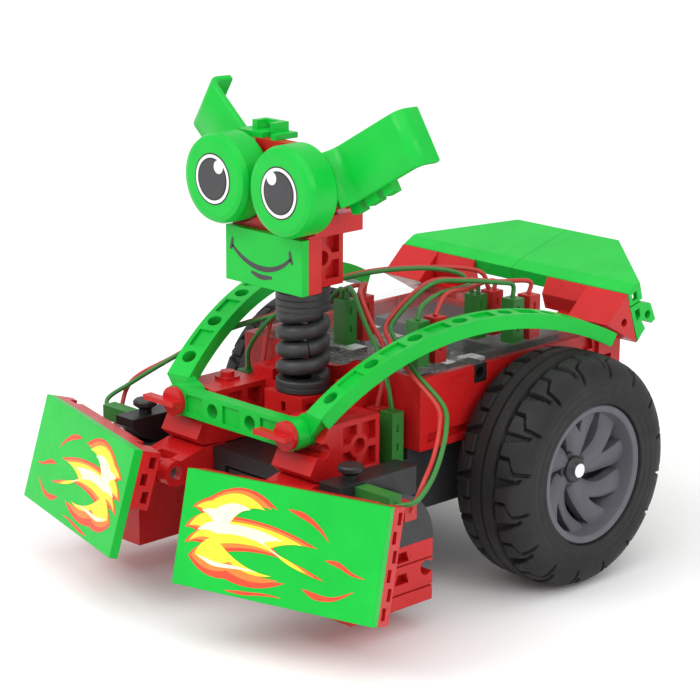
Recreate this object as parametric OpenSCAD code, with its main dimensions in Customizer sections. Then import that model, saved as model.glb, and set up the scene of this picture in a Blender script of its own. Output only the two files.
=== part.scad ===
// Two-wheeled rover built from a brick kit: controller box, two gear motors,
// arched struts, two bumper plates, a spring neck with a face and a rear spoiler.
// Millimetres. +X is the rover's left, the front faces -Y, the floor is z = 0.
// Places are given from the front strut's face (y = 0); mid_y moves the origin
// under the middle of the whole rover.

/* [Grid] */
// Pitch of the building system: block size and hole spacing
pitch = 15; // [15:0.1:15.2]
// Radius of the pins that join the pieces
pin_r = 2; // [1.9:0.05:2]
// Radial clearance of a turning pin in its bore
run_gap = 0.05; // [0.02:0.01:0.08]

/* [Wheels] */
// Outer radius of the tyre
tyre_r = 32.7; // [30:0.1:33]
// Radius of the rim's outer ring
rim_r = 19.7; // [19:0.1:20.5]
// Plane of the tyre's inner side, from the middle of the rover
tyre_in = 36; // [35.6:0.1:37]
// Plane of the tyre's outer side
tyre_out = 61; // [60:0.1:62]
// Distance of the axle behind the front strut
axle_y = 78.7; // [77:0.1:80]

/* [Controller] */
// Half width of the controller box
box_hw = 35; // [34:0.1:35.4]
// Front wall of the controller box
box_y0 = 36.5; // [36.4:0.1:37]
// Rear wall of the controller box
box_y1 = 108.5; // [104:0.1:110]
// Underside of the controller box
box_z0 = 42.4; // [42.4:0.1:43]
// Rim of the controller box
box_z1 = 62.7; // [62:0.1:63]
// Thickness of the clear cover
cover_t = 2.3; // [2:0.1:3]

/* [Arches] */
// Radius of the arched strut's outer face
arch_r = 84.2; // [82:0.1:86]
// Angle by which each arch splays outwards
arch_splay = 13.6; // [12:0.1:14]
// Thickness of the arched band
arch_t = 4; // [3.5:0.1:4]
// Width of every strut
strut_w = 7.5; // [7:0.1:7.6]

/* [Bumpers] */
// Width of a bumper plate
plate_w = 60; // [58:0.5:60]
// Height of a bumper plate
plate_h = 30; // [28:0.5:30]
// Sweep of each bumper plate
plate_yaw = 15; // [14:0.5:16]
// Lean of each bumper plate
plate_lean = 15.5; // [15:0.5:16]

/* [Head] */
// Radius of an eye wheel
eye_r = 12.2; // [11.5:0.1:12.4]
// Height of the eyes' centres
eye_z = 114; // [113.5:0.1:115]
// Radius of the neck spring's wire
wire_r = 2.2; // [2:0.1:2.3]
// Outer radius of the neck spring
coil_r = 7.5; // [7.3:0.1:7.6]

/* [Hidden] */
mid_y = 52.3;
axle_z = tyre_r;
cover_z = box_z1 + cover_t;
plate_at = [40.8, -20.4, 31.3];
hinge_at = [22.5, -6.6, 34.1];
strut_z = 52;
strut_t = 4;
foot_x = 1.5 * pitch;
deck_z = 39.5;
wall = 2;
neck_y = 26.4;
green = "#1ED850";
dark_green = "#2F7F2F";
red = "#D93A34";
black = "#262626";
grey = "#5A5A62";

// ---------- shared shapes ----------

// Puts a shape, given from the front strut, into the rover's own frame
module placed() { translate([0, -mid_y, 0]) children(); }

// Mirrors a left-hand shape for the right-hand side
module handed(left) { if (left) children(); else mirror([1, 0, 0]) children(); }

// Left-hand shape and its mirror image
module both() { children(); mirror([1, 0, 0]) children(); }

// Box between two corners
module span(a, b) { translate(a) cube(b - a); }

// Cylinder along X from x0 to x1
module rod_x(x0, x1, r, y, z, fn = 48) {
    translate([x0, y, z]) rotate([0, 90, 0]) cylinder(h = x1 - x0, r = r, $fn = fn);
}

// Cylinder along Y from y0 to y1
module rod_y(y0, y1, r, x, z, fn = 48) {
    translate([x, y0, z]) rotate([-90, 0, 0]) cylinder(h = y1 - y0, r = r, $fn = fn);
}

// Profile in the YZ plane, drawn as [y, z] points, pushed along X from x0 to x1
module slab_x(x0, x1, points) {
    translate([x0, 0, 0]) rotate([90, 0, 90]) linear_extrude(x1 - x0) polygon(points);
}

// Four square pockets and a ring recess of a block's ribbed side, cut at the plane x
// into the block on the side of dir
module rib_cut(x, y, z, dir) {
    depth = 2.4;
    x0 = dir > 0 ? x - depth : x;
    difference() {
        for (sy = [-1, 1], sz = [-1, 1])
            translate([x0, y + sy * 3.5 - 2.5, z + sz * 3.5 - 2.5]) cube([depth, 5, 5]);
        rod_x(x0 - 1, x0 + depth + 1, 3.4, y, z);
    }
    rod_x(x0, x0 + depth, pin_r, y, z);
}

// Round groove with a narrow mouth, cut along X through a front face
module key_groove(x0, x1, y, z, mouth) {
    rod_x(x0, x1, 2.1, y, z, 32);
    translate([x0, min(y, y + mouth), z - 1.4]) cube([x1 - x0, abs(mouth), 2.8]);
}

// ---------- controller ----------

module controller_housing() color(red) placed() difference() {
    union() {
        span([-box_hw, box_y0, box_z0], [box_hw, box_y1, box_z1]);
    }
    difference() {
        span([-box_hw + wall, box_y0 + wall, box_z0 + wall],
             [box_hw - wall, box_y1 - wall, box_z1 + 1]);
        for (x = [-1, 1], y = [box_y0 + wall, 72])
            translate([x * (box_hw - wall - 2) - 2, y, box_z0]) cube([4, 4, 14.6]);
    }
    both() {
        span([box_hw - 1.6, box_y0 + 3, 44.3], [box_hw + 1, box_y0 + 20, 46.9]);
        span([box_hw - 0.4, 48, 58.6], [box_hw + 1, 54, 61]);
    }
    span([box_hw - 3, 57.4, 57.4], [box_hw + 1, 62.6, box_z1 + 1]);
    both() slab_x(box_hw - 1.4, box_hw + 1, [[100.4, 62], [106.4, 62], [107, 58.4], [103, 58.4]]);
    for (x = [-0.5, 0.5]) rod_y(box_y1 - 3, box_y1 + 1, pin_r + run_gap, x * pitch, 52);
    translate([0, box_y0 - 1, box_z1 + 12]) rotate([-90, 0, 0]) cylinder(h = 4, r = 15, $fn = 96);
}

module controller_cover() color("#C8C8C8", 0.4) placed() difference() {
    translate([0, 0, box_z1]) linear_extrude(cover_t) polygon([
        [-box_hw, box_y0 + 6], [-box_hw + 6, box_y0], [box_hw - 6, box_y0],
        [box_hw, box_y0 + 6], [box_hw, box_y1], [-box_hw, box_y1]]);
    translate([0, 0, cover_z - 0.8]) linear_extrude(1) polygon([
        [-box_hw + 3, box_y0 + 4], [-box_hw + 4, box_y0 + 3], [box_hw - 4, box_y0 + 3],
        [box_hw - 3, box_y0 + 4], [box_hw - 3, box_y1 - 3], [-box_hw + 3, box_y1 - 3]]);
}

module circuit_board() color("#1F6B45") placed() {
    board_z = 57;
    span([-32.6, box_y0 + 2.4, board_z], [27.5, 76, board_z + 1.6]);
    span([-24, 50, board_z + 1.6], [-12, 62, board_z + 3]);
    span([4, 44, board_z + 1.6], [20, 51, board_z + 3.4]);
    span([-6, 64, board_z + 1.6], [2, 72, board_z + 3]);
    for (y = [56, 62]) translate([14, y, board_z + 1.6]) cylinder(h = 3.6, r = 2, $fn = 32);
}

module battery() color("#3A3A3A") placed() {
    span([-24.2, 78, box_z0 + wall], [24.2, 104.5, box_z0 + wall + 17.4]);
}

module power_jack() color(black) placed() difference() {
    span([28, 57.5, 57.5], [34.8, 62.5, 62.6]);
    rod_x(30, 36, 1.6, 60, 60.1);
}

// ---------- drive ----------

// One gear motor: outer case with a gear chamber, the motor can and its worm
module motor(left) color(black) placed() handed(left) {
    x0 = 0.25;
    x1 = 30.5;
    y0 = 20;
    y1 = 106;
    difference() {
        union() {
            span([x0, y0, 24], [x1, y1, deck_z]);
            span([x0, box_y0, deck_z - 1], [x1, y1, box_z0]);
        }
        span([x0 + 3.5, 24, 25.8], [x1 - 3.5, 101, 38]);
        span([x0 + 3.5, 64, 37], [x1 - 3.5, 94, 40.6]);
        rod_x(x0 + 1.2, x1 + 1, pin_r + run_gap, axle_y, axle_z);
    }
    rod_y(24, 52, 5.9, 15, 31.8);
    rod_y(52, 64, 1.6, 15, 31.8);
}

module tyre(left) color("#34322F") placed() handed(left) {
    translate([tyre_in, axle_y, axle_z]) rotate([0, 90, 0]) rotate_extrude($fn = 120)
        polygon([[rim_r, 2.5], [rim_r + 2, 0.6], [25, 0], [29.5, 1.2], [31.6, 3.2],
            [tyre_r, 6.5], [tyre_r, 18.5], [31.6, 21.8], [29.5, 23.8], [25, 25],
            [rim_r + 2, 24.4], [rim_r, 22.5]]);
}

// Rim: barrel, recessed spoke disc with five openings on each side of its spokes, hub
module rim(left) color(grey) placed() handed(left) {
    translate([tyre_in, axle_y, axle_z]) rotate([0, 90, 0]) difference() {
        rotate_extrude($fn = 96) polygon([[pin_r, 3], [6, 3], [6, 12], [17, 9.5], [17.2, 1.5],
            [18.6, 1.5], [rim_r, 2.5], [rim_r, 22.5], [19, 24.3], [17.6, 24.3], [16.8, 14],
            [6.2, 16], [5, 17.5], [pin_r, 17.5]]);
        for (i = [0:4]) rotate([0, 0, 72 * i + 36]) translate([12.2, 0, 8])
            cylinder(h = 10, r = 3.3, $fn = 32);
        for (i = [0:4], s = [-1, 1]) rotate([0, 0, 72 * i + 36 + 19 * s])
            translate([14, 0, 8]) cylinder(h = 10, r = 1.6, $fn = 32);
    }
}

module axle(left) color("#C9CCD0") placed() handed(left)
    rod_x(2, tyre_in + 19.5, pin_r, axle_y, axle_z);

// Spur gear pressed on the axle inside the motor's gear chamber
module gear(left) color("#E8E4D8") placed() handed(left) {
    teeth = 16;
    translate([10, axle_y, axle_z]) rotate([0, 90, 0]) difference() {
        union() {
            cylinder(h = 8, r = 5.4, $fn = 64);
            for (i = [0:teeth - 1]) rotate([0, 0, 360 / teeth * i])
                translate([5, -0.55, 0]) cube([1.5, 1.1, 8]);
        }
        translate([0, 0, -1]) cylinder(h = 10, r = pin_r, $fn = 48);
    }
}

// ---------- front caster ----------

caster_at = [0, 12, 8];

module caster_housing() color(black) placed() difference() {
    union() {
        span([-10, 6.5, 21], [10, 19.9, 24]);
        both() {
            span([5.6, 6, 9], [8, 18, 21.5]);
            rod_x(5.6, 8, 4.5, caster_at[1], caster_at[2]);
        }
    }
    rod_x(-9, 9, 1.5 + run_gap, caster_at[1], caster_at[2]);
}

module caster_wheel() color("#3A3A3A") placed() difference() {
    union() {
        translate([-5, caster_at[1], caster_at[2]]) rotate([0, 90, 0])
            rotate_extrude($fn = 72) polygon([[0, 0], [6.5, 0], [7.6, 1], [8, 2.5],
                [8, 7.5], [7.6, 9], [6.5, 10], [0, 10]]);
        rod_x(-7.9, 7.9, 1.5, caster_at[1], caster_at[2]);
    }
    for (s = [-1, 1]) for (i = [0:4])
        translate([s * 4.5, caster_at[1], caster_at[2]]) rotate([72 * i, 0, 0])
            translate([-1.2, 0, 4.4]) rotate([0, 90, 0]) cylinder(h = 2.4, r = 1.2, $fn = 24);
}

module track_sensor() color(black) placed() {
    difference() {
        span([-14.5, 6.5, 24], [14.5, 19.9, 39.3]);
        span([-10, 5, 28], [10, 8, 35]);
        for (x = [-7.5, 7.5]) rod_y(19, 21, pin_r, x, 32);
    }
    span([-9, 7.2, 29], [9, 8, 34]);
}

// ---------- struts and blocks at the front ----------

module front_strut() color(green) placed() difference() {
    union() {
        span([-foot_x, 0, strut_z - strut_w / 2], [foot_x, strut_t, strut_z + strut_w / 2]);
        for (s = [-1, 1]) rod_y(0, strut_t, strut_w / 2 + 0.6, s * foot_x, strut_z);
    }
    for (i = [-1.5:1.5]) rod_y(-1, strut_t + 1, pin_r + run_gap, i * pitch, strut_z);
    for (i = [-1:1]) span([i * pitch - 3.4, -1, strut_z - 2.5], [i * pitch + 3.4, 0.8, strut_z + 2.5]);
}

arch_from = [25.7, -0.7];
arch_mid = [60.75, -6.3];
foot_t = 3.6;
hole_step = 9.82;
first_hole = 126.4;

// Band between two angles, measured from +Y towards +Z about the arch's centre
module arch_band(a0, a1, r0, r1, w) {
    translate([0, arch_mid[0], arch_mid[1]]) rotate([a0, 0, 0]) rotate([90, 0, 90])
        rotate_extrude(angle = a1 - a0, $fn = 180)
            translate([r0, -w / 2]) square([r1 - r0, w]);
}

module arch_frame() {
    translate([arch_from[0], arch_from[1], 0]) rotate([0, 0, -arch_splay]) children();
}

module arch(left) color(green) placed() handed(left) difference() {
    union() {
        arch_frame() arch_band(62, 131, arch_r - arch_t, arch_r, strut_w);
        rod_y(strut_t, strut_t + foot_t, strut_w / 2 + 0.4, foot_x, strut_z);
        translate([0, strut_t + foot_t, 0]) rotate([90, 0, 0]) linear_extrude(foot_t)
            polygon([[foot_x - 4, strut_z], [foot_x + 3.6, strut_z - 1.4], [31, 57.2], [23.1, 57.2]]);
    }
    rod_y(strut_t - 1, strut_t + 9, pin_r + run_gap, foot_x, strut_z);
    arch_frame() for (i = [0:7]) translate([0, arch_mid[0], arch_mid[1]])
        rotate([first_hole - i * hole_step, 0, 0]) {
            translate([0, arch_r - 6, 0]) rotate([-90, 0, 0]) cylinder(h = 8, r = pin_r + run_gap, $fn = 32);
            if (i < 7) rotate([-hole_step / 2, 0, 0]) translate([-2.4, arch_r - 0.9, -3.2])
                cube([4.8, 3, 6.4]);
        }
}

module neck_block() color(red) placed() difference() {
    span([-7.5, 19, deck_z], [7.5, 34, 54.8]);
    for (z = [51.2, 44]) {
        translate([-0.8, 18, z - 1.4]) cube([1.6, 2.6, 2.8]);
        rod_y(20, 22, 2.1, 0, z);
    }
    both() rib_cut(7.5, 26.5, 47, 1);
}

// Ribbed blocks on both sides, the stepped clips behind them and the pod links
module front_blocks() color(red) placed() both() {
    difference() {
        span([15, 11.2, deck_z], [30, 26.2, 54.5]);
        rib_cut(30, 18.7, 47, 1);
        rib_cut(15, 18.7, 47, -1);
    }
    translate([22.5, 18.7, 54.5]) cylinder(h = 2.4, r = pin_r, $fn = 32);
    span([20, 16.2, 54.5], [25, 21.2, 55.3]);
    difference() {
        span([7.8, 26.2, deck_z], [20, box_y0, 58]);
        span([6, 25, 54.8], [12, 31, 60]);
    }
    span([30.5, 20, 25], [35, 26, 36]);
}

// Sloping angle blocks under the strut's ends
module strut_wedges() color(red) placed() both() difference() {
    slab_x(15, 30, [[11.2, deck_z], [11.2, 54.5], [7.8, 54.5], [0.8, 42.2], [3, 40.2]]);
    key_groove(14, 31, 5.6, 48, -6);
    span([18, -2, 46.5], [27, strut_t + 4.2, 60]);
    rod_y(0, 11.3, pin_r + run_gap, foot_x, strut_z);
}

// Fixed arms that carry the bumper hinges
module hinge_arms() color(red) placed() both() difference() {
    union() {
        slab_x(15, 30, [[-6.6, 30.5], [11.2, 30], [11.2, deck_z], [3.4, deck_z], [-5, 37.3]]);
        rod_x(15, 30, 3.6, hinge_at[1], hinge_at[2]);
    }
    rod_x(14, 31, pin_r, hinge_at[1], hinge_at[2]);
    span([19, -12, 29], [26, -2.4, 40]);
}

module hinge_pins() color("#B0B4B8") placed() both()
    rod_x(16.2, 29.8, pin_r, hinge_at[1], hinge_at[2]);

// ---------- bumpers ----------

// Moves a plate-shaped thing from its own frame to its place on the left
module plate_frame() translate(plate_at) rotate([0, 0, plate_yaw]) rotate([-plate_lean, 0, 0])
    children();

plate_t = 2.5;
backing_t = 5.5;

module bumper_plate(left) color(green) placed() handed(left) plate_frame()
    span([-plate_w / 2, 0, -plate_h / 2], [plate_w / 2, plate_t, plate_h / 2]);

module bumper_frame(left) color(red) placed() handed(left) difference() {
    union() {
        plate_frame() difference() {
            span([-plate_w / 2, plate_t, -plate_h / 2],
                 [plate_w / 2, plate_t + backing_t, plate_h / 2]);
            for (s = [-1, 1], i = [-2.5:2.5])
                translate([s * plate_w / 2 - 3, plate_t + 1.3 + (i - floor(i) > 0.4 && floor(i) % 2 == 0 ? 1.4 : 0), i * 4.8 - 1.6])
                    cube([6, 1.9, 3.2]);
            for (s = [-1, 1]) translate([s * 22.5, plate_t + 3, -16]) cube([4, 3, 32]);
            translate([-plate_w / 2 - 1, plate_t, -plate_h / 2 - 1]) cube([20, backing_t + 1, 15]);
        }
        hull() {
            rod_x(19.8, 25.2, 3.2, hinge_at[1], hinge_at[2], 32);
            plate_frame() span([-19.6, plate_t + backing_t - 1, 0], [-15, plate_t + backing_t - 0.5, 6.4]);
        }
    }
    rod_x(18, 27, pin_r + run_gap, hinge_at[1], hinge_at[2]);
}

switch_at = [37.5, -3, 35.9];

module bumper_switch(left) color(black) placed() handed(left) difference() {
    slab_x(switch_at[0], switch_at[0] + 7.5, [[-3, 41], [1, 37.5], [5, 35.9], [25, 35.9],
        [25, 43.6], [-3, 43.6]]);
    translate([41.25, 4.5, 39]) cylinder(h = 6, r = 1.85, $fn = 32);
    for (y = [9.5, 15.5]) rod_x(36, 39, 1.1, y, 40);
}

module button(left) color("#1C1C1C") placed() handed(left) translate([41.25, 4.5, 0])
    rotate_extrude($fn = 48) polygon([[0, 40.6], [1.8, 40.6], [1.8, 44.8], [3.4, 46],
        [3.4, 47], [2.9, 47.5], [0, 47.5]]);

module pod_bases() color(red) placed() both() difference() {
    span([35, -3.5, 7.6], [50, 26.3, 24.7]);
    for (z = [21.6, 15.6]) slab_x(47.6, 51, [[12.2, z - 1.2], [17.4, z - 1.2], [16.4, z + 1.6], [13.2, z + 1.6]]);
    key_groove(34, 51, 24, 16.9, 3);
    rod_x(47, 51, 2.1, 6.5, 14.5);
    span([49.4, -4, 11.4], [51, 27, 11.9]);
    span([49.4, -4, 19.3], [51, 27, 19.7]);
}

// Half-round tops of the pods, cut away under the switches
module pod_domes() color(black) placed() both() difference() {
    intersection() {
        rod_x(35, 50, 15, 11.4, 24.7, 96);
        span([34, -5, 24.7], [51, 28, 41]);
    }
    span([34, -6, switch_at[2] - 0.2], [switch_at[0] + 7.7, 30, 45]);
    span([44, -6, switch_at[2] - 0.7], [51, 11.5, 45]);
}

// ---------- rear spoiler ----------

spoiler_at = [111.6, 71.5];
spoiler_slope = 15.4;
spoiler_t = 5;

module spoiler(left) color(green) placed() handed(left)
    translate([0, spoiler_at[0], spoiler_at[1]]) rotate([spoiler_slope, 0, 0]) difference() {
        linear_extrude(spoiler_t) polygon([[0.05, 0], [44.4, 0], [44.4, 5.6], [20, 26], [0.05, 26]]);
        translate([0, 0, -1]) linear_extrude(spoiler_t - 0.7) polygon([[-1, 1.6], [42.9, 1.6],
            [42.9, 5], [19.4, 24.4], [-1, 24.4]]);
        slab_x(-1, 50, [[-1, 3.8], [4.4, spoiler_t], [4.4, 6], [-1, 6]]);
        slab_x(42, 46, [[1.4, 0.9], [3.6, 0.9], [3.6, 3.4], [1.4, 3]]);
    }

// Inner and outer angle blocks under each half, and the posts that carry them
module spoiler_brackets() color(red) placed() both() difference() {
    union() {
        slab_x(29.5, 44.4, [[101.9, 67.6], [110.2, 75.3], [111.4, 71.4], [115.1, 60.3]]);
        slab_x(14.4, 29.4, [[108, 70.6], [110.2, 75.3], [111.4, 71.4], [113, 66], [109.6, 66]]);
        slab_x(20, 36, [[box_y1, 48], [118, 48], [118, 60], [112.6, 67.6], [box_y1, 66]]);
    }
    rod_x(41, 46, 1.2, 109.2, 67.2);
    span([0, 100, 60], [box_hw + 0.1, box_y1, cover_z + 0.05]);
    span([34, box_y1 - 1, 50], [37, 114, 56]);
}

// Ribbed profiles behind the outer angle blocks
module spoiler_ends() color(green) placed() both() difference() {
    slab_x(37, 44.4, [[111.7, 71.1], [116.2, 72.3], [117, 71.6], [120.7, 71.1], [123.2, 66],
        [121.5, 65], [119.8, 66.2], [117, 66.4], [118.8, 63.9], [117.4, 62.7], [115.5, 60.6]]);
    rod_x(36, 46, 1.2, 119.6, 67.9, 32);
    slab_x(36, 46, [[113.8, 69.8], [115.8, 70.4], [116.4, 68], [114.9, 66.6]]);
}

// ---------- plugs ----------

plug = [4.7, 4.3, 12.6];

// Upright plug with its outer front corner at the point given
module plug_up(at, h = plug[2]) {
    difference() {
        translate([at[0] - plug[0], at[1], at[2]]) cube([plug[0], plug[1], h]);
        for (z = [3.4, 8.6]) translate([at[0] - 0.5, at[1] + 1.5, at[2] + z]) cube([1, 0.9, 2]);
    }
}

cover_plugs = [[0.5, 42.1], [30.8, 39.7], [20.8, 73.2], [31.3, 77]];
pair_gap = 6.7;

module green_plugs() color(dark_green) placed() {
    for (p = cover_plugs) plug_up([p[0], p[1], cover_z - 0.8]);
    plug_up([31, 30, deck_z], 14);
    mirror([1, 0, 0]) plug_up([31, 30, deck_z], 14);
    both() span([45, 2.4, 38.5], [57.6, 6.7, 42.8]);
}

module red_plugs() color(red) placed() {
    for (p = cover_plugs) plug_up([p[0], p[1] + pair_gap, cover_z - 0.8]);
    plug_up([25.6, 30, deck_z], 14);
    mirror([1, 0, 0]) plug_up([25.6, 30, deck_z], 14);
    both() span([45, 6.9, 35.5], [58.6, 11.2, 39.8]);
}

// ---------- head ----------

// Ring of points around a path's point, square to the direction of travel
function ring_about(at, dir, r, sides) = let (
    up = abs(dir[2]) > 0.8 * norm(dir) ? [0, 1, 0] : [0, 0, 1],
    u = cross(dir, up) / norm(cross(dir, up)),
    v = cross(u, dir) / norm(cross(u, dir)))
    [for (k = [0:sides - 1]) at + r * (cos(360 * k / sides) * u + sin(360 * k / sides) * v)];

// Closed tube of radius r along a list of points
module tube(path, r, sides = 8) {
    n = len(path);
    points = [for (i = [0:n - 1])
        each ring_about(path[i], path[min(i + 1, n - 1)] - path[max(i - 1, 0)], r, sides)];
    sides_of = [for (i = [0:n - 2], k = [0:sides - 1]) let (m = (k + 1) % sides)
        each [[i * sides + k, i * sides + m, (i + 1) * sides + k],
              [i * sides + m, (i + 1) * sides + m, (i + 1) * sides + k]]];
    caps = [[for (k = [sides - 1:-1:0]) k], [for (k = [0:sides - 1]) (n - 1) * sides + k]];
    polyhedron(points, concat(sides_of, caps));
}

module neck_spring() color(black) placed() translate([0, neck_y, 0]) {
    turns = 4;
    z0 = 58.2;
    z1 = 77.6;
    steps = 88;
    radius = coil_r - wire_r;
    coil = [for (i = [0:steps]) let (a = 360 * turns * i / steps)
        [radius * cos(a), radius * sin(a), z0 + (z1 - z0) * i / steps]];
    union() {
        tube(coil, wire_r, 10);
        translate([0, 0, 54.8]) cylinder(h = 3.4, r = coil_r, $fn = 64);
        difference() {
            translate([0, 0, 77.4]) cylinder(h = 7.2, r = coil_r, $fn = 64);
            translate([4, -1.2, 79]) cube([5, 2.4, 5]);
        }
    }
}

face_z = 84.6;

module head_block() color(red) placed() difference() {
    span([-7.5, 19.2, face_z], [7.5, 34.2, face_z + 16]);
    both() rib_cut(7.5, 26.7, face_z + 8, 1);
}

module mouth_plate() color(green) placed()
    span([-15, 12, face_z + 1], [15, 14.4, face_z + 16]);

module mouth_backing() color(red) placed()
    span([-15, 14.4, face_z + 1], [15, 19.2, face_z + 16]);

module head_beam() color(red) placed() difference() {
    span([-15, 14.4, face_z + 16], [15, 34.2, face_z + 21.4]);
    for (s = [-1, 1]) rod_y(5, 16.6, eye_r + 0.5, s * 13, eye_z, 96);
}

// Column and crossbar that hold the eye pins
module eye_carrier() color(red) placed() difference() {
    union() {
        span([-7.5, 17, face_z + 21.4], [7.5, 32, eye_z + 4]);
        span([-8.5, 17, eye_z + 4], [6, 20.5, 124.5]);
        span([-15.6, 17, eye_z - 4], [15.6, 24, eye_z + 4]);
        for (left = [true, false]) ear_frame(left) translate([-11.5, -clip_back - 3.5, 6.5]) {
            cube([18.5, 3.5, 6]);
            translate([5.5, 0, 0]) cube([13, 3.5, 7.8]);
        }
    }
    for (s = [-1, 1]) rod_y(16, 25, pin_r, s * 13, eye_z);
    span([-6, 19, 122], [-2.5, 21, 125]);
}

module eye_pins() color("#C8282A") placed() for (s = [-1, 1]) rod_y(8, 24, pin_r, s * 13, eye_z);

module eye(left) color(green) placed() handed(left)
    translate([13, 5.7, eye_z]) rotate([-90, 0, 0]) difference() {
        rotate_extrude($fn = 96) polygon([[0, 0], [eye_r - 2, 0], [eye_r - 0.7, 0.5], [eye_r, 2],
            [eye_r, 9], [eye_r - 1, 10.4], [0, 10.4]]);
        translate([0, 0, 2.2]) cylinder(h = 10, r = pin_r + run_gap, $fn = 48);
    }

// Ear strip seen along its width: straight root, bend, flat middle, bend, straight tip
ear_root = 55;
ear_tip = 85;
ear_bend = 4;
ear_flat = 18;
ear_w = 15.5;
clip_back = 8.7;
ear_t = 2;

// Corners of one side of the strip, at the distance d behind its front face
ear_start = [3.8, -3.2];
function ear_side(d) = concat(
    [ear_start - (ear_bend + d) * [sin(ear_root), cos(ear_root)]
        - 2 * [cos(ear_root), -sin(ear_root)] + [0, ear_bend]],
    [for (i = [0:6]) let (a = ear_root * (6 - i) / 6)
        ear_start + [0, ear_bend] - (ear_bend + d) * [sin(a), cos(a)]],
    [for (i = [0:8]) let (a = ear_tip * i / 8)
        ear_start + [ear_flat, -ear_bend] + (ear_bend - d) * [sin(a), cos(a)]],
    [ear_start + [ear_flat, -ear_bend] + (ear_bend - d) * [sin(ear_tip), cos(ear_tip)]
        + 4 * [cos(ear_tip), -sin(ear_tip)]]);

module ear_frame(left) handed(left)
    translate([left ? 16.7 : 15.2, 17, 123.8]) rotate([175.3, -31.8, 10.6]) children();

module ear(left) color(green) placed() ear_frame(left) {
    back = ear_side(ear_t);
    linear_extrude(ear_w)
        polygon(concat(ear_side(0), [for (i = [len(back) - 1:-1:0]) back[i]]));
}

// Hinge clips behind the ears and the clip piece on top of the head
module ear_clips() color(green) placed() {
    for (left = [true, false]) ear_frame(left) difference() {
        translate([-2, -clip_back, 4]) cube([15, clip_back - 5.2, 13.6]);
        for (x = [1.4, 7.6]) translate([x, -10, 14]) cube([2, 6, 4]);
    }
    difference() {
        span([-16, 17, 124.5], [-0.5, 25, 126]);
        span([-6, 16, 124], [-2.5, 20, 127]);
    }
    span([-13, 20, 126], [-11, 25, 128.4]);
    span([-6, 20, 126], [-4, 25, 128.4]);
    span([-13, 23.4, 127], [-4, 25, 128.4]);
}

// ---------- quarter-turn rivets ----------

module rivet(left) color(red) placed() translate([left ? foot_x : -foot_x, 0, strut_z]) {
    rod_y(-0.1, 11, pin_r, 0, 0);
    rod_y(-1.5, -0.1, 4, 0, 0);
    span([-9, -4.3, -0.7], [3.6, -1.4, 0.7]);
}

// ---------- leads ----------

// Routes of the green leads, from the device's plug to the controller's plug
right_switch_route = [[-57.6, 4.5, 40.3], [-61, 7, 43], [-58, 13, 47], [-48, 20, 55],
    [-36, 28, 63.5], [-24, 40, 69], [-12, 44.5, 72.5], [-6, 45, 78], [-3.2, 44.2, 79.3],
    [-3.2, 44.2, 76.8]];
right_motor_route = [[-28.6, 32.1, 53.5], [-28, 32, 60], [-22, 34.5, 69], [-12, 39, 77],
    [-6.5, 46, 81], [1, 54, 83.5], [9, 65, 84], [15, 73, 82], [17.3, 75.3, 76.8]];
left_motor_route = [[28.6, 32.1, 53.5], [28.4, 31, 60], [22, 34, 67], [12, 38, 74],
    [4, 42, 79.5], [-0.9, 44.2, 80.2], [-1.3, 44.2, 76.8]];
loop_route = [[28.4, 41.8, 76.8], [28, 44, 80.3], [25, 54, 81.5], [21.5, 66, 80.5],
    [19.4, 74.5, 79.8], [19.4, 75.3, 76.8]];
left_switch_route = [[57.6, 4.5, 40.3], [61.5, 7.5, 41.5], [61.2, 13, 45], [58.1, 20, 49.5],
    [54, 26.5, 55], [47.7, 32, 59], [36.3, 34, 64.6], [30, 36.4, 67], [24, 38, 71],
    [19.1, 42, 74.5], [22, 53, 83.5], [24, 64.5, 83.1], [28.1, 75, 81.6],
    [28.9, 79.1, 80.4], [28.9, 79.1, 76.8]];
routes = [right_switch_route, right_motor_route, left_motor_route, loop_route,
    left_switch_route];
// Each red lead: its first plug from the green one's, and its side of the green lead
red_from = [[-1, 4.5, -2.7], [5.4, 0, 0], [-5.4, 0, 0], [0, pair_gap, 0], [1, 4.5, -2.7]];
red_side = [-1, -1, 1, 1, -1];
lead_r = 0.65;
lead_gap = 1.75;

// Point k of a red lead, level with the green lead's point and beside it
function beside(route, k, side) = let (d = route[k + 1] - route[k - 1])
    route[k] + side * lead_gap * [d[1], -d[0], 0] / norm([d[0], d[1]]);

module green_leads() color(dark_green) placed() for (route = routes) tube(route, lead_r);

module red_leads() color(red) placed() for (i = [0:len(routes) - 1]) {
    route = routes[i];
    last = len(route) - 1;
    tube(concat([route[0] + red_from[i]],
        [for (k = [2:last - 2]) beside(route, k, red_side[i])],
        [for (k = [last - 1, last]) route[k] + [0, pair_gap, 0]]), lead_r);
}

controller_housing();
controller_cover();
circuit_board();
battery();
power_jack();
motor(true);  // left_motor
motor(false);  // right_motor
front_strut();
arch(true);  // left_arch
arch(false);  // right_arch
neck_block();
front_blocks();
strut_wedges();
hinge_arms();
hinge_pins();
track_sensor();
caster_housing();
caster_wheel();
pod_bases();
pod_domes();
spoiler(true);  // left_spoiler
spoiler(false);  // right_spoiler
spoiler_brackets();
spoiler_ends();
green_plugs();
red_plugs();
tyre(true);  // left_tyre
tyre(false);  // right_tyre
rim(true);  // left_rim
rim(false);  // right_rim
axle(true);  // left_axle
axle(false);  // right_axle
gear(true);  // left_gear
gear(false);  // right_gear
bumper_plate(true);  // left_bumper_plate
bumper_plate(false);  // right_bumper_plate
bumper_frame(true);  // left_bumper_frame
bumper_frame(false);  // right_bumper_frame
bumper_switch(true);  // left_switch
bumper_switch(false);  // right_switch
button(true);  // left_button
button(false);  // right_button
head_block();
mouth_plate();
mouth_backing();
head_beam();
eye_carrier();
eye_pins();
eye(true);  // left_eye
eye(false);  // right_eye
ear(true);  // left_ear
ear(false);  // right_ear
ear_clips();
neck_spring();
rivet(true);  // left_rivet
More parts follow.
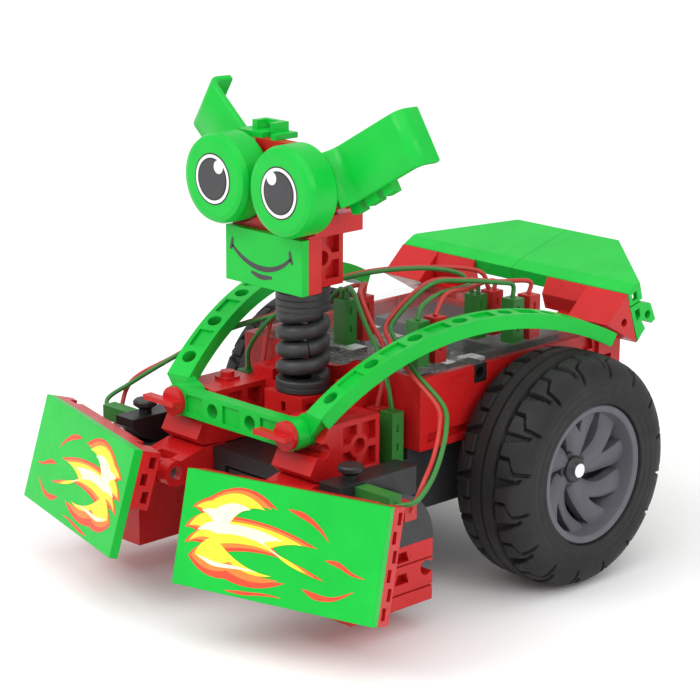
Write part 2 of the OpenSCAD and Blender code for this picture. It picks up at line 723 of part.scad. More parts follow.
rivet(false);  // right_rivet
green_leads();
red_leads();
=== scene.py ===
"""Two-wheeled kit rover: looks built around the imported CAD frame, in metres."""
import math

import bmesh
import bpy
from mathutils import Matrix, Vector


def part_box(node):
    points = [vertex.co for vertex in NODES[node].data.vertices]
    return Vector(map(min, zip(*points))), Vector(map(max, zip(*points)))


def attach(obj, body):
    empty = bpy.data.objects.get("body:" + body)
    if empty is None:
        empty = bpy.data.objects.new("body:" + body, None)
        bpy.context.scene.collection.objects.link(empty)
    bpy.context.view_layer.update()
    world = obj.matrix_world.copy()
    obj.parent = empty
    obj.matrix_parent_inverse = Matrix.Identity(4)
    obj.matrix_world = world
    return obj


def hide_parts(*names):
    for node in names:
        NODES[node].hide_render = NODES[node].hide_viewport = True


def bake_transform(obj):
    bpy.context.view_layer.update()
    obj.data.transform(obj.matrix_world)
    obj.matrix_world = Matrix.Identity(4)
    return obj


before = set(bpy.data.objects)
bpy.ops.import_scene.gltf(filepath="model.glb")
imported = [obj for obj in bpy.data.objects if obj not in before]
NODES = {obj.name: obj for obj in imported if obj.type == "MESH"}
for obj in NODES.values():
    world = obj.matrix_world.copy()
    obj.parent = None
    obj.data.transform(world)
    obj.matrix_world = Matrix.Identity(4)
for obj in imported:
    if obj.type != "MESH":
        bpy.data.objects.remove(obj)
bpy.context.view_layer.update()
MM = 0.001
STRUT_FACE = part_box("front_strut")[0].y


def at(x, y, z):
    """Point in metres of a place in millimetres, measured from the front strut's face."""
    return Vector((x * MM, y * MM + STRUT_FACE, z * MM))


# ---------------------------------------------------------------- materials


def shader(name):
    """Empty node material with a Principled shader wired to its output."""
    mat = bpy.data.materials.new(name)
    mat.use_nodes = True
    tree = mat.node_tree
    tree.nodes.clear()
    out = tree.nodes.new("ShaderNodeOutputMaterial")
    bsdf = tree.nodes.new("ShaderNodeBsdfPrincipled")
    tree.links.new(bsdf.outputs["BSDF"], out.inputs["Surface"])
    return mat, tree, bsdf


def noise_of(tree, coords, scale, detail=3.0, rough=0.55):
    """Factor output of a noise texture over the given coordinates."""
    node = tree.nodes.new("ShaderNodeTexNoise")
    node.inputs["Scale"].default_value = scale
    node.inputs["Detail"].default_value = detail
    node.inputs["Roughness"].default_value = rough
    tree.links.new(coords, node.inputs["Vector"])
    return node.outputs["Fac"]


def ramp_of(tree, fac, stops):
    """Colour of a ramp with the given (place, colour) stops."""
    node = tree.nodes.new("ShaderNodeValToRGB")
    while len(node.color_ramp.elements) < len(stops):
        node.color_ramp.elements.new(0.5)
    for element, (place, color) in zip(node.color_ramp.elements, stops):
        element.position = place
        element.color = (*color, 1.0)
    tree.links.new(fac, node.inputs["Fac"])
    return node.outputs["Color"]


def moulded(name, color, rough=0.34, spread=0.06, grain=0.05, edge=0.25, coat=0.0,
            metallic=0.0, grain_scale=2600.0, specular=0.5, alpha=1.0):
    """Moulded plastic: faint mottling, uneven gloss, fine grain and softened edges."""
    mat, tree, bsdf = shader(name)
    coords = tree.nodes.new("ShaderNodeTexCoord").outputs["Object"]
    broad = noise_of(tree, coords, 70.0, 4.0)
    low = tuple(c * (1 - spread) for c in color)
    high = tuple(min(1.0, c * (1 + spread) + 0.004) for c in color)
    tree.links.new(ramp_of(tree, broad, [(0.3, low), (0.7, high)]), bsdf.inputs["Base Color"])
    gloss = tree.nodes.new("ShaderNodeMapRange")
    gloss.inputs["From Min"].default_value = 0.3
    gloss.inputs["From Max"].default_value = 0.7
    gloss.inputs["To Min"].default_value = rough - 0.05
    gloss.inputs["To Max"].default_value = rough + 0.07
    tree.links.new(noise_of(tree, coords, 260.0, 3.0), gloss.inputs["Value"])
    tree.links.new(gloss.outputs["Result"], bsdf.inputs["Roughness"])
    bump = tree.nodes.new("ShaderNodeBump")
    bump.inputs["Strength"].default_value = grain
    bump.inputs["Distance"].default_value = 0.00004
    tree.links.new(noise_of(tree, coords, grain_scale, 2.0), bump.inputs["Height"])
    if edge:
        soft = tree.nodes.new("ShaderNodeBevel")
        soft.samples = 4
        soft.inputs["Radius"].default_value = edge * MM
        tree.links.new(soft.outputs["Normal"], bump.inputs["Normal"])
    tree.links.new(bump.outputs["Normal"], bsdf.inputs["Normal"])
    bsdf.inputs["Coat Weight"].default_value = coat
    bsdf.inputs["Metallic"].default_value = metallic
    bsdf.inputs["Specular IOR Level"].default_value = specular
    bsdf.inputs["Alpha"].default_value = alpha
    return mat


GREEN = moulded("green_abs", (0.002, 0.50, 0.042), rough=0.33, specular=0.26)
RED = moulded("red_abs", (0.56, 0.010, 0.011), rough=0.30, specular=0.34)
DARK_GREEN = moulded("dark_green_abs", (0.022, 0.19, 0.024), rough=0.4)
PLUG_RED = moulded("plug_red_abs", (0.50, 0.016, 0.014), rough=0.4)
BLACK = moulded("black_abs", (0.012, 0.012, 0.013), rough=0.38, spread=0.2)
DARK = moulded("charcoal_abs", (0.028, 0.028, 0.031), rough=0.45, spread=0.15)
RUBBER = moulded("tyre_rubber", (0.014, 0.0135, 0.0138), rough=0.56, spread=0.22, grain=0.4,
                 edge=0.0, grain_scale=1700.0, specular=0.28)
RIM = moulded("rim_grey", (0.115, 0.113, 0.13), rough=0.6, spread=0.12, grain=0.9, edge=0.3,
              grain_scale=3200.0, specular=0.4)
STEEL = moulded("bright_steel", (0.80, 0.81, 0.83), rough=0.18, spread=0.03, grain=0.1,
                edge=0.2, metallic=1.0)
BATTERY = moulded("battery_sleeve", (0.045, 0.047, 0.055), rough=0.4, spread=0.2)
ACETAL = moulded("gear_acetal", (0.78, 0.75, 0.66), rough=0.4)
CLEAR = moulded("clear_cover", (0.30, 0.31, 0.31), rough=0.09, spread=0.2, grain=0.3,
                edge=0.0, grain_scale=300.0, specular=0.55, alpha=0.12)
GREEN_PVC = moulded("green_pvc", (0.030, 0.20, 0.030), rough=0.42, edge=0.0, grain=0.15)
RED_PVC = moulded("red_pvc", (0.50, 0.030, 0.022), rough=0.42, edge=0.0, grain=0.15)
INK_DARK = moulded("ink_dark", (0.014, 0.013, 0.015), rough=0.45, edge=0.0)
INK_LINE = moulded("ink_line", (0.040, 0.038, 0.042), rough=0.45, edge=0.0)
INK_WHITE = moulded("ink_white", (0.86, 0.86, 0.86), rough=0.4, spread=0.02, edge=0.0)
FLAME_RED = moulded("flame_red", (0.90, 0.060, 0.018), rough=0.4, edge=0.0)
FLAME_ORANGE = moulded("flame_orange", (0.95, 0.22, 0.030), rough=0.4, edge=0.0)
FLAME_YELLOW = moulded("flame_yellow", (0.98, 0.76, 0.030), rough=0.4, edge=0.0)
FLAME_PALE = moulded("flame_pale", (0.98, 0.95, 0.62), rough=0.4, spread=0.02, edge=0.0)


def board_with_painted_glints():
    """Dark solder mask with pale specks: partly small pale parts, partly painted glints standing for
    light off metallic parts.
    """
    mat, tree, bsdf = shader("solder_mask_painted_glints")
    coords = tree.nodes.new("ShaderNodeTexCoord").outputs["Object"]
    fine = noise_of(tree, coords, 520.0, 5.0, 0.7)
    # the pale top stops of this ramp are partly the parts' own pale colour and partly painted glints
    tree.links.new(ramp_of(tree, fine, [(0.40, (0.012, 0.020, 0.018)), (0.52, (0.035, 0.040, 0.034)),
                                        (0.57, (0.16, 0.14, 0.13)), (0.66, (0.60, 0.58, 0.56))]),
                   bsdf.inputs["Base Color"])
    bsdf.inputs["Roughness"].default_value = 0.35
    return mat


BOARD = board_with_painted_glints()
LOOKS = {
    RED: ["controller_housing", "neck_block", "front_blocks", "strut_wedges", "hinge_arms",
          "pod_bases", "spoiler_brackets", "left_bumper_frame", "right_bumper_frame",
          "head_block", "mouth_backing", "head_beam", "eye_carrier", "left_rivet",
          "right_rivet"],
    PLUG_RED: ["red_plugs", "eye_pins"],
    GREEN: ["front_strut", "left_arch", "right_arch", "left_spoiler", "right_spoiler",
            "spoiler_ends", "left_bumper_plate", "right_bumper_plate", "mouth_plate",
            "left_eye", "right_eye", "ear_clips"],
    DARK_GREEN: ["green_plugs"],
    BLACK: ["power_jack", "left_switch", "right_switch", "left_button", "right_button",
            "track_sensor", "caster_housing"],
    DARK: ["left_motor", "right_motor", "pod_domes"],
    RUBBER: ["caster_wheel"],
    STEEL: ["left_axle", "right_axle", "hinge_pins"],
    BOARD: ["circuit_board"],
    BATTERY: ["battery"],
    ACETAL: ["left_gear", "right_gear"],
    CLEAR: ["controller_cover"],
}
for look, names in LOOKS.items():
    for name in names:
        slots = NODES[name].data.materials
        slots.clear()
        slots.append(look)

# ---------------------------------------------------------------- mesh helpers


def piece(name, mesh, body, replaces=(), smooth=35.0):
    """Object from a finished mesh, riding on a body; smooth is the sharpest smooth angle."""
    obj = bpy.data.objects.new(name, mesh)
    bpy.context.scene.collection.objects.link(obj)
    if smooth:
        mesh.shade_smooth()
        mesh.set_sharp_from_angle(angle=math.radians(smooth))
    if body:
        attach(obj, body)
    if replaces:
        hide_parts(*replaces)
    return obj


def mesh_of(name, verts, faces, *materials, indices=None):
    """Mesh with its materials; indices gives each face's material."""
    mesh = bpy.data.meshes.new(name)
    mesh.from_pydata([tuple(v) for v in verts], [], faces)
    for mat in materials:
        mesh.materials.append(mat)
    if indices:
        mesh.polygons.foreach_set("material_index", indices)
    mesh.update()
    return mesh


def spun(rings, steps, place, closed=False):
    """Vertices and faces of a surface of rings; place(i, k) gives ring i's point at step k."""
    verts = [place(i, k) for i in range(rings) for k in range(steps)]
    faces = []
    for i in range(rings if closed else rings - 1):
        for k in range(steps):
            m, j = (k + 1) % steps, (i + 1) % rings
            faces.append((i * steps + k, i * steps + m, j * steps + m, j * steps + k))
    return verts, faces


def smooth_route(points, per_span=8):
    """Catmull-Rom points through a route, with even curvature at its ends."""
    p = [2 * points[0] - points[1], *points, 2 * points[-1] - points[-2]]
    out = []
    for i in range(1, len(p) - 2):
        for s in range(per_span):
            t = s / per_span
            out.append(0.5 * ((2 * p[i]) + (p[i + 1] - p[i - 1]) * t
                              + (2 * p[i - 1] - 5 * p[i] + 4 * p[i + 1] - p[i + 2]) * t * t
                              + (3 * p[i] - p[i - 1] - 3 * p[i + 1] + p[i + 2]) * t ** 3))
    out.append(points[-1].copy())
    return out


def tube(route, radius, sides=12):
    """Vertices and faces of a capped tube; the section is carried along without twist."""
    n = len(route)
    tangents = [(route[min(i + 1, n - 1)] - route[max(i - 1, 0)]).normalized() for i in range(n)]
    side = tangents[0].orthogonal().normalized()
    verts, faces = [], []
    for i in range(n):
        side = (side - tangents[i] * side.dot(tangents[i])).normalized()
        other = tangents[i].cross(side)
        for k in range(sides):
            a = 2 * math.pi * k / sides
            verts.append(route[i] + radius * (math.cos(a) * side + math.sin(a) * other))
    for i in range(n - 1):
        for k in range(sides):
            m = (k + 1) % sides
            faces.append((i * sides + k, i * sides + m, (i + 1) * sides + m, (i + 1) * sides + k))
    faces.append(tuple(reversed(range(sides))))
    faces.append(tuple(range((n - 1) * sides, n * sides)))
    return verts, faces


def joined(parts):
    """Vertices and faces of several parts as one list of each."""
    verts, faces = [], []
    for v, f in parts:
        shift = len(verts)
        verts += v
        faces += [tuple(i + shift for i in face) for face in f]
    return verts, faces


def face_outwards(mesh):
    """Turns every face of closed shells to face out."""
    bm = bmesh.new()
    bm.from_mesh(mesh)
    bmesh.ops.recalc_face_normals(bm, faces=bm.faces)
    bm.to_mesh(mesh)
    bm.free()


def plate_mesh(name, outlines, thick, place, *materials):
    """Flat filled outlines, holes by nesting, thick millimetres deep and put by place(u, v, d)."""
    curve = bpy.data.curves.new(name, "CURVE")
    curve.dimensions = "2D"
    curve.fill_mode = "BOTH"
    curve.extrude = thick / 2
    for outline in outlines:
        spline = curve.splines.new("POLY")
        spline.points.add(len(outline) - 1)
        for point, (u, v) in zip(spline.points, outline):
            point.co = (u, v, 0.0, 1.0)
        spline.use_cyclic_u = True
    holder = bpy.data.objects.new(name, curve)
    bpy.context.scene.collection.objects.link(holder)
    bpy.context.view_layer.update()
    mesh = bpy.data.meshes.new_from_object(holder.evaluated_get(bpy.context.evaluated_depsgraph_get()))
    bpy.data.objects.remove(holder)
    bm = bmesh.new()
    bm.from_mesh(mesh)
    bmesh.ops.remove_doubles(bm, verts=bm.verts, dist=1e-5)
    for vert in bm.verts:
        vert.co = place(vert.co.x, vert.co.y, vert.co.z)
    bmesh.ops.recalc_face_normals(bm, faces=bm.faces)
    bm.to_mesh(mesh)
    bm.free()
    mesh.materials.clear()
    for mat in materials:
        mesh.materials.append(mat)
    return mesh


# ---------------------------------------------------------------- tyres and rims

# Across is measured from the tyre's middle, or in the rim from the tyre's inner side.

AXLE = at(0, 78.7, 32.7)
TYRE_IN, TYRE_OUT = 36.0, 61.0
MIDDLE = (TYRE_IN + TYRE_OUT) / 2
TREAD_R = 32.65
BEAD = 12.0, 19.75  # across, radius of the tyre's seat on the rim
LUG_PAIRS = 16
PER_PAIR = 28  # steps around in one pair of lugs
RIM_STEPS = 112
SPOKES = 5
CROWN = [(-12.4, 20.0), (-12.5, 23.0), (-12.45, 26.0), (-11.9, 28.6), (-10.6, 30.6), (-8.6, 31.8),
         (-5.0, 32.45), (0.0, TREAD_R), (5.0, 32.45), (8.6, 31.8), (10.6, 30.6), (11.9, 28.6),
         (12.45, 26.0), (12.5, 23.0), (12.4, 20.0)]


def on_wheel(sgn, x, r, a):
    """Point at x from the rover's middle, radius r and angle a about the axle."""
    return Vector((sgn * x * MM, AXLE.y + r * MM * math.cos(a), AXLE.z + r * MM * math.sin(a)))


def clamp(t):
    return max(0.0, min(1.0, t))


def groove(distance, half_width, soft=0.22):
    """1 in the middle of a groove, falling to 0 over its soft sides."""
    return clamp((half_width - distance) / soft)


def tread_depth(m, drop, around):
    """Depth of the pattern at m from the middle, drop below the crown, around in lug pairs."""
    pitch = 2 * math.pi * 32.0 / LUG_PAIRS
    side = abs(m) + drop
    shift = around if m > 0 else 1.5 - around
    h = (shift % 1.0) * pitch
    depth = 1.4 * groove(abs(m), 0.4) + 1.6 * groove(abs(side - 4.3), 0.5)
    if 4.3 < side < 18.5:
        hook = 2.6 + 3.4 * clamp((side - 8.4) / 2.4)
        fade = clamp((18.5 - side) / 1.6)
        depth = max(depth, 1.5 * fade * groove(abs(h - hook), 0.5, 0.25))
        wide = 1.45 - 0.85 * clamp((side - 5.0) / 6.0)
        line = 9.6 - 0.16 * (side - 4.3)
        fade = clamp((15.0 - side) / 1.2)
        depth = max(depth, 1.7 * fade * groove(abs(h - line), wide, 0.25))
    return depth


def section_samples():
    """Even samples of the tyre's section, closer together over the tread."""
    route = smooth_route([Vector((m, 0.0, r)) for m, r in CROWN], 10)
    return [(p.x, p.z) for p in route]


def tyre(side):
    """Tyre with its centre line, shoulder grooves and hooked side lugs cut into the mesh."""
    samples = section_samples()
    steps = LUG_PAIRS * PER_PAIR
    sgn = 1 if side == "left" else -1

    def ring_point(i, k):
        m, r = samples[i]
        cut = tread_depth(m, TREAD_R - r, k / PER_PAIR) if r > 25.5 else 0.0
        lean = clamp((abs(m) - 8.0) / 4.5)
        if abs(m) > 12.2 and 21.0 < r < 26.0:
            cut = -0.12 * (0.5 + 0.5 * math.cos((r - 23.5) * 2.5))
        m_cut = m - math.copysign(cut * lean * 0.8, m)
        r_cut = r - cut * (1 - 0.7 * lean)
        return on_wheel(sgn, MIDDLE + m_cut, r_cut, 2 * math.pi * k / steps)

    verts, faces = spun(len(samples), steps, ring_point)
    across, bead_r = BEAD
    extra = [on_wheel(sgn, MIDDLE + m, bead_r, 2 * math.pi * k / steps)
             for m in (across, -across) for k in range(steps)]
    base = len(verts)
    last = (len(samples) - 1) * steps
    verts += extra
    for first, second in ((last, base), (base, base + steps), (base + steps, 0)):
        for k in range(steps):
            m = (k + 1) % steps
            faces.append((first + k, first + m, second + m, second + k))
    if sgn > 0:
        faces = [tuple(reversed(f)) for f in faces]
    mesh = mesh_of(side + "_tread_tyre", verts, faces, RUBBER)
    return piece(side + "_tread_tyre", mesh, side + "_wheel",
                 [side + "_tyre"], smooth=42.0)


def petal(sgn, turn, half):
    """Half of one dished spoke: closed sections from the hub out to the barrel."""
    rad = math.radians
    stations = [3.0, 4.2, 5.6, 7.2, 9.0, 10.6, 11.4, 12.2, 13.2, 14.2, 15.2, 16.2, 17.4]
    across, thick = 7, 4.6
    verts, faces = [], []
    for r in stations:
        out = clamp((r - 4.2) / 12.6)
        middle = turn + rad(30) * out ** 1.3
        wide = rad(34.5) - rad(6.5) * math.sin(math.pi * min(1.0, out * 1.1)) - rad(2.5) * out
        notch = rad(9.5) * max(0.0, (r - 10.9) / 5.6) ** 0.8
        level = 17.2 + 3.6 * out ** 1.6
        top = []
        for k in range(across):
            t = (notch + (wide - notch) * k / (across - 1)) / wide
            fall = 1.5 * t ** 3 + 0.5 * max(0.0, 1 - (t * wide - notch) / rad(4)) * (notch > 0)
            top.append((t * wide * half, level - fall))
        for a, x in top + [(top[-1][0], level - thick), (top[0][0], level - thick)]:
            verts.append(on_wheel(sgn, TYRE_IN + x, r, middle + a))
    size = across + 2
    for i in range(len(stations) - 1):
        for k in range(size):
            m = (k + 1) % size
            faces.append((i * size + k, i * size + m, (i + 1) * size + m, (i + 1) * size + k))
    faces.append(tuple(range(size)))
    faces.append(tuple((len(stations) - 1) * size + k for k in range(size)))
    return verts, faces


def rim(side):
    """Barrel and hub, ten half spokes and the dark nut, as one mesh."""
    sgn = 1 if side == "left" else -1

    def ring(profile):
        def ring_point(i, k):
            r, x = profile[i]
            return on_wheel(sgn, TYRE_IN + x, r, 2 * math.pi * k / RIM_STEPS)
        return spun(len(profile), RIM_STEPS, ring_point, closed=True)

    barrel = ring([(16.9, 11.5), (17.1, 22.6), (17.5, 23.9), (18.0, 24.25), (19.2, 24.3),
                   (19.72, 23.6), (19.72, 1.6), (19.2, 1.0), (18.0, 1.0), (17.6, 1.6), (17.4, 7.5),
                   (9.0, 7.8), (5.0, 6.0), (5.0, 3.2), (2.0, 3.2), (2.0, 12.0), (5.3, 12.0),
                   (9.0, 9.5), (16.4, 9.5)])
    petals = [petal(sgn, 2 * math.pi * i / SPOKES, half) for i in range(SPOKES) for half in (-1, 1)]
    nut = ring([(2.0, 11.0), (2.0, 18.2), (3.2, 18.2), (3.7, 17.8), (3.8, 17.0), (4.9, 16.9),
                (5.1, 16.5), (5.1, 11.0)])
    verts, faces = joined([barrel] + petals)
    count = len(faces)
    verts, faces = joined([(verts, faces), nut])
    mesh = mesh_of(side + "_spoked_rim", verts, faces, RIM, DARK,
                   indices=[0] * count + [1] * (len(faces) - count))
    face_outwards(mesh)
    return piece(side + "_spoked_rim", mesh, side + "_wheel", [side + "_rim"])


for wheel_side in ("left", "right"):
    tyre(wheel_side)
    rim(wheel_side)

# ---------------------------------------------------------------- neck spring

NECK = at(0, 26.4, 0)
COIL_R, WIRE_R, TURNS = 5.3, 2.2, 4
COIL_Z0, COIL_Z1, NECK_SPLIT = 58.2, 77.6, 67.5


def turned(profile, steps=64):
    """Closed ring of revolution about the neck's axis from [radius, height] points."""
    def ring_point(i, k):
        a = 2 * math.pi * k / steps
        r, z = profile[i]
        return Vector((r * MM * math.cos(a), NECK.y + r * MM * math.sin(a), z * MM))
    return spun(len(profile), steps, ring_point, closed=True)


def coil(z0, z1):
    """The part of the spring's wire between two heights."""
    per_turn = 40
    count = int(round((z1 - z0) / (COIL_Z1 - COIL_Z0) * TURNS * per_turn))
    route = []
    for i in range(count + 1):
        z = z0 + (z1 - z0) * i / count
        a = 2 * math.pi * TURNS * (z - COIL_Z0) / (COIL_Z1 - COIL_Z0)
        route.append(Vector((COIL_R * MM * math.cos(a), NECK.y + COIL_R * MM * math.sin(a), z * MM)))
    return tube(route, WIRE_R * MM, 16)


def collar(z0, z1, grooves):
    """Chamfered end collar of the spring, with fine grooves at the given heights."""
    bore, rim_r, chamfer = 3.0, 7.5, 0.4
    profile = [(bore, z0), (rim_r - chamfer, z0), (rim_r, z0 + chamfer)]
    for z in grooves:
        profile += [(rim_r, z - 0.18), (rim_r - 0.2, z), (rim_r, z + 0.18)]
    profile += [(rim_r, z1 - chamfer), (rim_r - chamfer, z1), (bore, z1)]
    return turned(profile)


lower = joined([collar(54.85, 58.4, [56.6]), coil(COIL_Z0, NECK_SPLIT)])
upper = joined([collar(77.4, 84.55, [79.2, 81.0, 82.8]), coil(NECK_SPLIT, COIL_Z1)])
for name, parts, a, b, z0, z1 in (
        ("neck_spring_lower", lower, "chassis", "neck", 58.4, NECK_SPLIT),
        ("neck_spring_upper", upper, "neck", "head", NECK_SPLIT, 77.4)):
    mesh = mesh_of(name, *parts, DARK)
    face_outwards(mesh)
    obj = piece(name, mesh, None, ["neck_spring"])
    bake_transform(obj)

# ---------------------------------------------------------------- parts on the board

BOARD_TOP = 58.6
BOARD_PARTS = [  # middle x, middle y, size x, size y, height
    (-26, 44, 7, 5, 2.6), (-17, 45, 4, 6, 1.6), (-9, 54, 6, 6, 1.4), (-2, 60, 3, 5, 2.2),
    (8, 57, 5, 7, 1.8), (22, 59, 6, 4, 2.4), (24, 48, 3, 4, 1.6), (-28, 56, 4, 8, 2.0),
    (-20, 70, 8, 5, 2.6), (10, 69, 7, 3, 2.0), (22, 70, 5, 6, 1.6), (-10, 72, 5, 3, 1.4),
]


def board_parts():
    """Chips, connectors and cans under the clear cover."""
    boxes = []
    for x, y, w, d, h in BOARD_PARTS:
        corners = [at(x + sx * w / 2, y + sy * d / 2, BOARD_TOP + sz * h)
                   for sz in (0, 1) for sx, sy in ((-1, -1), (1, -1), (1, 1), (-1, 1))]
        boxes.append((corners, [(3, 2, 1, 0), (4, 5, 6, 7), (0, 1, 5, 4), (1, 2, 6, 5),
                                (2, 3, 7, 6), (3, 0, 4, 7)]))
    verts, faces = joined(boxes)
    looks = [BLACK, INK_WHITE, STEEL]
    indices = [(i // 6) % 3 for i in range(len(faces))]
    mesh = mesh_of("board_parts", verts, faces, *looks, indices=indices)
    piece("board_parts", mesh, "chassis", smooth=0)


board_parts()

# ---------------------------------------------------------------- ears

EAR_ROOT, EAR_TIP = 55, 85  # degrees turned at the root and at the tip
EAR_BEND, EAR_FLAT, EAR_LIP = 4.0, 18.0, 4.0  # bend radius, flat between the bends, end past the tip
EAR_W, EAR_T, EAR_EDGE = 15.5, 2.0, 0.35  # width, thickness, chamfer
EAR_START = 3.8, -3.2  # first end of the flat in the section


def ear_line(d):
    """Points of the strip's section at the distance d behind its front face."""
    sx, sy = EAR_START
    points = []
    a = math.radians(EAR_ROOT)
    points.append((sx - (EAR_BEND + d) * math.sin(a) - 2 * math.cos(a),
                   sy + EAR_BEND - (EAR_BEND + d) * math.cos(a) + 2 * math.sin(a)))
    for i in range(17):
        a = math.radians(EAR_ROOT * (16 - i) / 16)
        points.append((sx - (EAR_BEND + d) * math.sin(a), sy + EAR_BEND - (EAR_BEND + d) * math.cos(a)))
    for i in range(21):
        a = math.radians(EAR_TIP * i / 20)
        points.append((sx + EAR_FLAT + (EAR_BEND - d) * math.sin(a),
                       sy - EAR_BEND + (EAR_BEND - d) * math.cos(a)))
    u, v = points[-1]
    points.append((u + EAR_LIP * math.cos(a), v - EAR_LIP * math.sin(a)))
    return points


def ear(side):
    """Bent strip with chamfered edges, set on the head by three turns."""
    sgn = 1 if side == "left" else -1
    root = at(16.7 if sgn > 0 else 15.2, 17, 123.8)
    turn = (Matrix.Rotation(math.radians(10.6), 4, "Z") @ Matrix.Rotation(math.radians(-31.8), 4, "Y")
            @ Matrix.Rotation(math.radians(175.3), 4, "X"))
    section = [(w, ear_line(d)) for w, d in (
        (0, EAR_EDGE), (EAR_EDGE, 0), (EAR_W - EAR_EDGE, 0), (EAR_W, EAR_EDGE),
        (EAR_W, EAR_T - EAR_EDGE), (EAR_W - EAR_EDGE, EAR_T), (EAR_EDGE, EAR_T),
        (0, EAR_T - EAR_EDGE))]
    count = len(section[0][1])
    verts = []
    for i in range(count):
        for w, line in section:
            p = turn @ Vector((line[i][0] * MM, line[i][1] * MM, w * MM))
            verts.append(Vector((sgn * (p.x + root.x), p.y + root.y, p.z + root.z)))
    n = len(section)
    faces = [(i * n + k, i * n + (k + 1) % n, (i + 1) * n + (k + 1) % n, (i + 1) * n + k)
             for i in range(count - 1) for k in range(n)]
    faces += [tuple(range(n)), tuple(range((count - 1) * n, count * n))]
    mesh = mesh_of(side + "_ear_strip", verts, faces, GREEN)
    face_outwards(mesh)
    piece(side + "_ear_strip", mesh, "head", [side + "_ear"], smooth=50.0)


ear("left")
ear("right")

# ---------------------------------------------------------------- leads

ROUTES = [  # green leads: right switch, right motor, left motor, loop, left switch
    [(-57.6, 4.5, 40.3), (-61, 7, 43), (-58, 13, 47), (-48, 20, 55), (-36, 28, 63.5), (-24, 40, 69),
     (-12, 44.5, 72.5), (-6, 45, 78), (-3.2, 44.2, 79.3), (-3.2, 44.2, 76.8)],
    [(-28.6, 32.1, 53.5), (-28, 32, 60), (-22, 34.5, 69), (-12, 39, 77), (-6.5, 46, 81),
     (1, 54, 83.5), (9, 65, 84), (15, 73, 82), (17.3, 75.3, 76.8)],
    [(28.6, 32.1, 53.5), (28.4, 31, 60), (22, 34, 67), (12, 38, 74), (4, 42, 79.5),
     (-0.9, 44.2, 80.2), (-1.3, 44.2, 76.8)],
    [(28.4, 41.8, 76.8), (28, 44, 80.3), (25, 54, 81.5), (21.5, 66, 80.5), (19.4, 74.5, 79.8),
     (19.4, 75.3, 76.8)],
    [(57.6, 4.5, 40.3), (61.5, 7.5, 41.5), (61.2, 13, 45), (58.1, 20, 49.5), (54, 26.5, 55),
     (47.7, 32, 59), (36.3, 34, 64.6), (30, 36.4, 67), (24, 38, 71), (19.1, 42, 74.5), (22, 53, 83.5),
     (24, 64.5, 83.1), (28.1, 75, 81.6), (28.9, 79.1, 80.4), (28.9, 79.1, 76.8)],
]
RED_FROM = [(-1, 4.5, -2.7), (5.4, 0, 0), (-5.4, 0, 0), (0, 6.7, 0), (1, 4.5, -2.7)]
RED_SIDE = [-1, -1, 1, 1, -1]  # which side of its green lead each red lead runs
PAIR_STEP = Vector((0, 6.7, 0))  # from a green plug on the controller to its red one
LEAD_R, LEAD_GAP = 0.65, 1.75


def red_route(route, first, side):
    """The red lead of a pair: its own plugs' places, and beside the green lead between them."""
    points = [route[0] + Vector(first)]
    for k in range(2, len(route) - 2):
        d = route[k + 1] - route[k - 1]
        points.append(route[k] + side * LEAD_GAP * Vector((d.y, -d.x, 0)).normalized())
    return points + [route[-2] + PAIR_STEP, route[-1] + PAIR_STEP]


def lead_set(name, mat, node, routes):
    """All the leads of one colour, as one piece."""
    parts = [tube(smooth_route([at(*p) for p in route], 7), LEAD_R * MM, 12) for route in routes]
    return piece(name, mesh_of(name, *joined(parts), mat), "chassis", [node], smooth=60.0)


greens = [[Vector(p) for p in route] for route in ROUTES]
lead_set("green_lead_runs", GREEN_PVC, "green_leads", greens)
lead_set("red_lead_runs", RED_PVC, "red_leads",
         [red_route(*pair) for pair in zip(greens, RED_FROM, RED_SIDE)])

# ---------------------------------------------------------------- printed face

INK = 0.05  # rise from one printed layer to the next
EYE_X, EYE_Z, MOUTH_Z = 13, 114, 93.1


def circle(r, cx=0.0, cy=0.0, n=72):
    """Outline of a circle."""
    return [(cx + r * math.cos(2 * math.pi * k / n), cy + r * math.sin(2 * math.pi * k / n))
            for k in range(n)]


def stroke(points, width, per_span=10):
    """Outline of a pen stroke along smooth points; width(t) is its full width at t."""
    line = smooth_route([Vector((u, v, 0)) for u, v in points], per_span)
    n = len(line)
    left, right = [], []
    for i, p in enumerate(line):
        d = (line[min(i + 1, n - 1)] - line[max(i - 1, 0)]).normalized()
        side = Vector((-d.y, d.x, 0)) * width(i / (n - 1)) / 2
        left.append((p.x + side.x, p.y + side.y))
        right.append((p.x - side.x, p.y - side.y))
    return left + right[::-1]


def print_layers(name, body, layers, place):
    """One printed picture: layers of (material, outlines), each a little in front of the last."""
    verts, faces, indices, mats = [], [], [], []
    for level, (mat, outlines) in enumerate(layers):
        lift = INK * (level + 0.6)
        for outline in outlines:
            holes = outline if isinstance(outline[0], list) else [outline]
            part = plate_mesh(name, holes, INK * 0.9,
                              lambda u, v, d, up=lift: place(u, v, up + d), mat)
            shift = len(verts)
            verts += [v.co.copy() for v in part.vertices]
            faces += [tuple(i + shift for i in p.vertices) for p in part.polygons]
            indices += [level] * len(part.polygons)
            bpy.data.meshes.remove(part)
        mats.append(mat)
    return piece(name, mesh_of(name, verts, faces, *mats, indices=indices), body, smooth=0)


for side, sgn in (("left", 1), ("right", -1)):
    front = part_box(side + "_eye")[0].y

    def on_eye(u, v, up, sgn=sgn, front=front):
        return Vector((sgn * EYE_X * MM + u * MM, front - up * MM, (EYE_Z + v) * MM))

    glint = (-sgn * 2.6, 3.6)
    print_layers(side + "_eye_print", side + "_eye_wheel",
                 [(INK_DARK, [[circle(7.0), circle(6.6)]]), (INK_WHITE, [circle(6.6)]),
                  (INK_DARK, [circle(5.75)]), (INK_LINE, [circle(5.3)]),
                  (INK_WHITE, [circle(1.8, *glint, n=40)])], on_eye)

mouth_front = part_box("mouth_plate")[0].y


